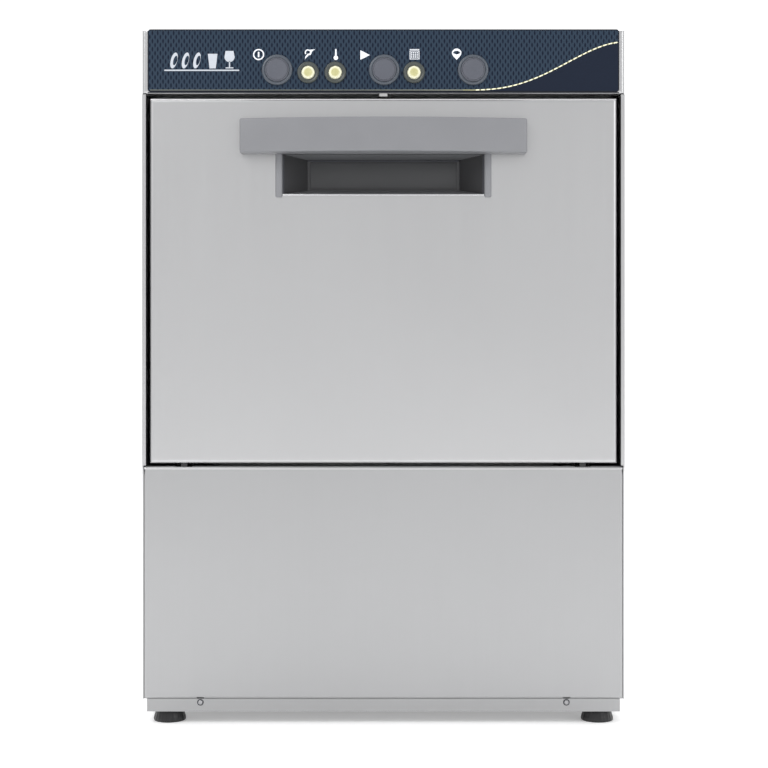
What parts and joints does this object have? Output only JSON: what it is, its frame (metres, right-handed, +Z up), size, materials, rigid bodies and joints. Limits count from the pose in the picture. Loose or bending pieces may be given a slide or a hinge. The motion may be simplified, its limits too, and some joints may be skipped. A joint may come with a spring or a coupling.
{
  "type": "commercial dishwasher",
  "caption": "Undercounter commercial dishwasher with a drop-down door, recessed grip, push-button fascia, spray arms, tank, boiler and levelling feet.",
  "frame": {"origin": "on the floor under the middle of the overall box", "axes": "+Z up, the door faces -Y, +X to the right when facing the machine"},
  "size_m": [0.4, 0.49, 0.576],
  "materials": {
    "steel_outer": "fine vertical brushed stainless sheet",
    "steel_inner": "smooth pressed stainless sheet",
    "steel_works": "plain galvanised and stainless parts",
    "fixings": "plated fasteners, pins and springs",
    "navy_print": "printed satin overlay",
    "grip_grey": "moulded grey grip",
    "pocket_grey": "moulded grey pocket",
    "button_grey": "satin grey cap",
    "bezel_grey": "moulded bezel",
    "lens_ivory": "translucent ivory lens",
    "rubber_black": "moulded rubber",
    "foot_black": "black nylon",
    "arm_plastic": "glass-filled polypropylene",
    "casing_plastic": "moulded pump casing",
    "valve_white": "white moulding",
    "board_green": "circuit board",
    "motor_paint": "painted motor",
    "rack_blue": "moulded rack"
  },
  "bodies": {
    "machine": {"base_pan": "steel_outer", "side_panel_left": "steel_outer", "side_panel_right": "steel_outer", "rear_panel": "steel_outer", "top_panel": "steel_outer", "lower_front_panel": "steel_outer", "fascia_panel": "steel_outer", "fascia_overlay": "navy_print", "connection_plate": "steel_outer", "hinge_brackets": "steel_works", "hinge_pins": "fixings", "chamber_wrap": "steel_inner", "chamber_back": "steel_inner", "chamber_floor": "steel_inner", "chamber_frame": "steel_inner", "tank": "steel_inner", "tank_heater": "steel_works", "rack_rails": "steel_inner", "arm_post_lower": "steel_inner", "arm_post_upper": "steel_inner", "hoses": "rubber_black", "pump_volute": "casing_plastic", "pump_motor": "motor_paint", "boiler": "steel_works", "boiler_heater": "steel_works", "inlet_valve": "valve_white", "drain_spigot": "casing_plastic", "rinse_aid_pump": "valve_white", "pressure_switch": "valve_white", "control_board": "board_green", "terminal_block": "valve_white", "mains_gland": "rubber_black", "button_bezels": "bezel_grey", "switch_blocks": "valve_white", "lamp_bezels": "bezel_grey", "lamp_lenses": "lens_ivory", "door_catch": "steel_works", "panel_screws": "fixings", "foot_nuts": "fixings", "door_springs": "fixings"},
    "door": {"door_outer_panel": "steel_outer", "door_inner_panel": "steel_inner", "door_gasket": "rubber_black", "handle_bar": "grip_grey", "handle_pocket": "pocket_grey", "hinge_arms": "steel_works"},
    "button_power": {"button_power": "button_grey"},
    "button_start": {"button_start": "button_grey"},
    "button_drain": {"button_drain": "button_grey"},
    "foot_front_left": {"foot_front_left": "foot_black"},
    "foot_front_right": {"foot_front_right": "foot_black"},
    "foot_rear_left": {"foot_rear_left": "foot_black"},
    "foot_rear_right": {"foot_rear_right": "foot_black"},
    "wash_arm": {"wash_arm": "arm_plastic"},
    "rinse_arm_lower": {"rinse_arm_lower": "steel_inner"},
    "rinse_arm_upper": {"rinse_arm_upper": "steel_inner"},
    "pump_rotor": {"pump_rotor": "arm_plastic"},
    "standpipe": {"standpipe": "arm_plastic"},
    "tank_filter": {"tank_filter": "steel_inner"},
    "dish_rack": {"dish_rack": "rack_blue"}
  },
  "joints": [
    {"name": "door_hinge", "type": "hinge", "parent": "machine", "child": "door", "pos_m": [0, -0.219, 0.222], "axis": [1, 0, 0], "range_deg": [0, 90], "stiffness_Nm_per_rad": 1.4, "deforming": ["door_springs"]},
    {"name": "press_power", "type": "slide", "parent": "machine", "child": "button_power", "axis": [0, 1, 0], "range_m": [0, 0.003], "stiffness_N_per_m": 500},
    {"name": "press_start", "type": "slide", "parent": "machine", "child": "button_start", "axis": [0, 1, 0], "range_m": [0, 0.003], "stiffness_N_per_m": 500},
    {"name": "press_drain", "type": "slide", "parent": "machine", "child": "button_drain", "axis": [0, 1, 0], "range_m": [0, 0.003], "stiffness_N_per_m": 500},
    {"name": "level_front_left", "type": "slide", "parent": "machine", "child": "foot_front_left", "axis": [0, 0, -1], "range_m": [0, 0.025]},
    {"name": "level_front_right", "type": "slide", "parent": "machine", "child": "foot_front_right", "axis": [0, 0, -1], "range_m": [0, 0.025]},
    {"name": "level_rear_left", "type": "slide", "parent": "machine", "child": "foot_rear_left", "axis": [0, 0, -1], "range_m": [0, 0.025]},
    {"name": "level_rear_right", "type": "slide", "parent": "machine", "child": "foot_rear_right", "axis": [0, 0, -1], "range_m": [0, 0.025]},
    {"name": "wash_arm_spin", "type": "hinge", "parent": "machine", "child": "wash_arm", "pos_m": [0, -0.012, 0.246], "axis": [0, 0, 1], "continuous": true},
    {"name": "rinse_arm_lower_spin", "type": "hinge", "parent": "machine", "child": "rinse_arm_lower", "pos_m": [0, -0.012, 0.257], "axis": [0, 0, 1], "continuous": true},
    {"name": "rinse_arm_upper_spin", "type": "hinge", "parent": "machine", "child": "rinse_arm_upper", "pos_m": [0, -0.012, 0.491], "axis": [0, 0, 1], "continuous": true},
    {"name": "pump_spin", "type": "hinge", "parent": "machine", "child": "pump_rotor", "pos_m": [0.036, -0.055, 0.076], "axis": [1, 0, 0], "continuous": true},
    {"name": "standpipe_lift", "type": "slide", "parent": "machine", "child": "standpipe", "axis": [0, 0, 1], "range_m": [0, 0.03]},
    {"name": "filter_lift", "type": "slide", "parent": "machine", "child": "tank_filter", "axis": [0, 0, 1], "range_m": [0, 0.006]},
    {"name": "rack_lift", "type": "slide", "parent": "machine", "child": "dish_rack", "axis": [0, 0, 1], "range_m": [0, 0.04]}
  ]
}
